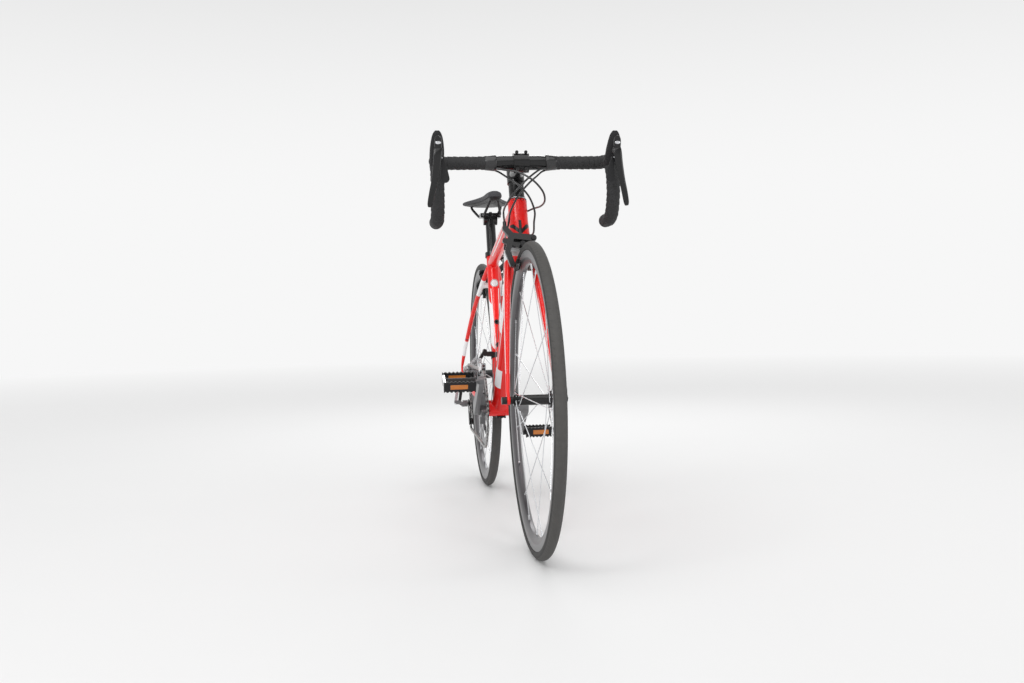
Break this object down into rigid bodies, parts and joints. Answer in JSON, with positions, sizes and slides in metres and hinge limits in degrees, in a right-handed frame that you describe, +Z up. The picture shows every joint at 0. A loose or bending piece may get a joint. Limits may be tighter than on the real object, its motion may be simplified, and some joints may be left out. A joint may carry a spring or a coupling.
{
  "type": "road bicycle",
  "caption": "Road bicycle with drop handlebar, rim brakes, double chainset, derailleurs and quick-release wheels.",
  "frame": {"origin": "on the ground, midway between the two axles, in the middle plane", "axes": "+X forward, +Y to the rider's left, +Z up"},
  "size_m": [1.6499, 0.4298, 0.906],
  "materials": {
    "red_paint": "gloss",
    "black_alloy": "gloss",
    "grey_alloy": "satin",
    "silver": "polished",
    "steel": "brushed",
    "tyre_rubber": "matte",
    "bar_tape_black": "matte",
    "hood_rubber": "matte",
    "black_plastic": "matte",
    "saddle_cover_black": "matte",
    "cable_black": "gloss"
  },
  "bodies": {
    "frame": {"head_tube": "red_paint", "top_tube": "red_paint", "down_tube": "red_paint", "seat_tube": "red_paint", "bottom_bracket_shell": "red_paint", "chainstays": "red_paint", "seatstays": "red_paint", "bearing_cups": "black_alloy", "seat_collar": "black_alloy", "frame_fittings": "black_plastic", "frame_cables": "cable_black", "rear_brake_pivot": "black_alloy", "rear_axle": "silver", "rd_bracket": "grey_alloy", "fd_bracket": "black_alloy", "chain": "steel"},
    "steering": {"fork": "red_paint", "headset_spacers": "black_alloy", "stem": "black_alloy", "handlebar": "black_alloy", "bar_tape": "bar_tape_black", "lever_hoods": "hood_rubber", "front_brake_pivot": "black_alloy", "front_axle": "silver", "steering_cables": "cable_black"},
    "lever_left": {"brake_lever_left": "black_alloy"},
    "lever_right": {"brake_lever_right": "black_alloy"},
    "paddle_left": {"shift_paddle_left": "black_plastic"},
    "paddle_right": {"shift_paddle_right": "black_plastic"},
    "front_arm_left": {"front_brake_arm_left": "black_alloy"},
    "front_arm_right": {"front_brake_arm_right": "black_alloy"},
    "rear_arm_left": {"rear_brake_arm_left": "black_alloy"},
    "rear_arm_right": {"rear_brake_arm_right": "black_alloy"},
    "front_wheel": {"front_tyre": "tyre_rubber", "front_rim": "grey_alloy", "front_spokes": "steel", "front_hub": "black_alloy"},
    "rear_wheel": {"rear_tyre": "tyre_rubber", "rear_rim": "grey_alloy", "rear_spokes": "steel", "rear_hub": "black_alloy"},
    "cassette_body": {"cassette": "steel"},
    "front_qr": {"front_qr_lever": "black_alloy"},
    "rear_qr": {"rear_qr_lever": "black_alloy"},
    "crankset": {"crank_right": "grey_alloy", "crank_left": "grey_alloy", "chainrings": "grey_alloy"},
    "pedal_body_right": {"pedal_right": "black_plastic"},
    "pedal_body_left": {"pedal_left": "black_plastic"},
    "rd_outer": {"rd_outer_link": "silver"},
    "rd_inner": {"rd_inner_link": "grey_alloy"},
    "rd_knuckle_body": {"rd_knuckle": "grey_alloy"},
    "rd_cage_body": {"rd_cage": "steel"},
    "guide_wheel": {"guide_pulley": "black_plastic"},
    "tension_wheel": {"tension_pulley": "black_plastic"},
    "fd_link_body": {"fd_link": "grey_alloy"},
    "fd_cage_body": {"fd_cage": "grey_alloy"},
    "post": {"seatpost": "black_alloy"},
    "saddle": {"saddle_base": "black_plastic", "saddle_cover": "saddle_cover_black"}
  },
  "joints": [
    {"name": "steering", "type": "hinge", "parent": "frame", "child": "steering", "pos_m": [0.44788, 0, 0.32343], "axis": [-0.2924, 0, 0.9563], "range_deg": [-60, 60], "deforming": ["steering_cables"]},
    {"name": "front_wheel_spin", "type": "hinge", "parent": "steering", "child": "front_wheel", "pos_m": [0.489, 0, 0.336], "axis": [0, 1, 0], "continuous": true},
    {"name": "rear_wheel_spin", "type": "hinge", "parent": "frame", "child": "rear_wheel", "pos_m": [-0.489, 0, 0.336], "axis": [0, 1, 0], "continuous": true},
    {"name": "crank_spin", "type": "hinge", "parent": "frame", "child": "crankset", "pos_m": [-0.08975, 0, 0.268], "axis": [0, 1, 0], "continuous": true, "deforming": ["chain"]},
    {"name": "cassette_spin", "type": "hinge", "parent": "frame", "child": "cassette_body", "pos_m": [-0.489, 0, 0.336], "axis": [0, 1, 0], "continuous": true},
    {"name": "pedal_right_spin", "type": "hinge", "parent": "crankset", "child": "pedal_body_right", "pos_m": [0.05894, -0.12, 0.35042], "axis": [0, 1, 0], "continuous": true},
    {"name": "pedal_left_spin", "type": "hinge", "parent": "crankset", "child": "pedal_body_left", "pos_m": [-0.23844, 0.12, 0.18558], "axis": [0, 1, 0], "continuous": true},
    {"name": "brake_lever_left_pull", "type": "hinge", "parent": "steering", "child": "lever_left", "pos_m": [0.49181, 0.19, 0.86222], "axis": [0, 1, 0], "range_deg": [0, 13], "stiffness_Nm_per_rad": 0.6},
    {"name": "shift_paddle_left_push", "type": "hinge", "parent": "lever_left", "child": "paddle_left", "pos_m": [0.49181, 0.183, 0.84622], "axis": [1, 0, 0], "range_deg": [-20, 0], "stiffness_Nm_per_rad": 0.1},
    {"name": "brake_lever_right_pull", "type": "hinge", "parent": "steering", "child": "lever_right", "pos_m": [0.49181, -0.19, 0.86222], "axis": [0, 1, 0], "range_deg": [0, 13], "stiffness_Nm_per_rad": 0.6},
    {"name": "shift_paddle_right_push", "type": "hinge", "parent": "lever_right", "child": "paddle_right", "pos_m": [0.49181, -0.183, 0.84622], "axis": [1, 0, 0], "range_deg": [0, 20], "stiffness_Nm_per_rad": 0.1},
    {"name": "front_brake_left_close", "type": "hinge", "parent": "steering", "child": "front_arm_left", "pos_m": [0.34496, 0, 0.66005], "axis": [0.9563, 0, 0.2924], "range_deg": [-5, 0.5]},
    {"name": "front_brake_right_close", "type": "hinge", "parent": "steering", "child": "front_arm_right", "pos_m": [0.34087, 0.024, 0.67344], "axis": [0.9563, 0, 0.2924], "range_deg": [-0.5, 5]},
    {"name": "rear_brake_right_close", "type": "hinge", "parent": "frame", "child": "rear_arm_right", "pos_m": [-0.25188, 0, 0.59968], "axis": [-0.8192, 0, 0.5736], "range_deg": [-5, 0.5]},
    {"name": "rear_brake_left_close", "type": "hinge", "parent": "frame", "child": "rear_arm_left", "pos_m": [-0.24385, -0.024, 0.61115], "axis": [-0.8192, 0, 0.5736], "range_deg": [-0.5, 5]},
    {"name": "front_qr_open", "type": "hinge", "parent": "steering", "child": "front_qr", "pos_m": [0.489, 0.068, 0.336], "axis": [0.9397, 0, 0.342], "range_deg": [-180, 0]},
    {"name": "rear_qr_open", "type": "hinge", "parent": "frame", "child": "rear_qr", "pos_m": [-0.489, 0.082, 0.336], "axis": [0.4695, 0, -0.8829], "range_deg": [-180, 0]},
    {"name": "rd_shift", "type": "hinge", "parent": "frame", "child": "rd_outer", "pos_m": [-0.49029, -0.084, 0.29141], "axis": [0.9759, 0, 0.2181], "range_deg": [-20, 20], "deforming": ["chain"]},
    {"name": "rd_inner_swing", "type": "hinge", "parent": "frame", "child": "rd_inner", "pos_m": [-0.49029, -0.072, 0.29141], "axis": [0.9759, 0, 0.2181], "range_deg": [-20, 20]},
    {"name": "rd_knuckle_swing", "type": "hinge", "parent": "rd_outer", "child": "rd_knuckle_body", "pos_m": [-0.4817, -0.09095, 0.25297], "axis": [0.9759, 0, 0.2181], "range_deg": [-20, 20]},
    {"name": "rd_cage_swing", "type": "hinge", "parent": "rd_knuckle_body", "child": "rd_cage_body", "pos_m": [-0.48091, -0.0462, 0.24945], "axis": [0, 1, 0], "range_deg": [-15, 20], "stiffness_Nm_per_rad": 0.5, "deforming": ["chain"]},
    {"name": "guide_pulley_spin", "type": "hinge", "parent": "rd_cage_body", "child": "guide_wheel", "pos_m": [-0.48091, -0.0462, 0.24945], "axis": [0, 1, 0], "continuous": true},
    {"name": "tension_pulley_spin", "type": "hinge", "parent": "rd_cage_body", "child": "tension_wheel", "pos_m": [-0.46268, -0.0462, 0.1965], "axis": [0, 1, 0], "continuous": true},
    {"name": "fd_shift", "type": "hinge", "parent": "frame", "child": "fd_link_body", "pos_m": [-0.08975, -0.036, 0.42], "axis": [1, 0, 0], "range_deg": [0, 8], "stiffness_Nm_per_rad": 1, "deforming": ["chain"]},
    {"name": "fd_cage_swing", "type": "hinge", "parent": "fd_link_body", "child": "fd_cage_body", "pos_m": [-0.08975, -0.05, 0.398], "axis": [1, 0, 0], "range_deg": [-8, 0]},
    {"name": "seatpost_height", "type": "slide", "parent": "frame", "child": "post", "axis": [-0.2756, 0, 0.9613], "range_m": [-0.02, 0.04]},
    {"name": "saddle_slide", "type": "slide", "parent": "post", "child": "saddle", "axis": [1, 0, 0], "range_m": [-0.015, 0.015]}
  ],
  "couplings": [
    {"joint": "cassette_spin", "follows": "crank_spin", "ratio": 3.3333},
    {"joint": "guide_pulley_spin", "follows": "crank_spin", "ratio": -4.5455},
    {"joint": "tension_pulley_spin", "follows": "crank_spin", "ratio": 4.5455},
    {"joint": "front_brake_left_close", "follows": "brake_lever_left_pull", "ratio": -0.088462},
    {"joint": "front_brake_right_close", "follows": "brake_lever_left_pull", "ratio": 0.061538},
    {"joint": "rear_brake_right_close", "follows": "brake_lever_right_pull", "ratio": -0.088462},
    {"joint": "rear_brake_left_close", "follows": "brake_lever_right_pull", "ratio": 0.061538},
    {"joint": "rd_inner_swing", "follows": "rd_shift", "ratio": 1},
    {"joint": "rd_knuckle_swing", "follows": "rd_shift", "ratio": -1},
    {"joint": "fd_cage_swing", "follows": "fd_shift", "ratio": -1}
  ]
}
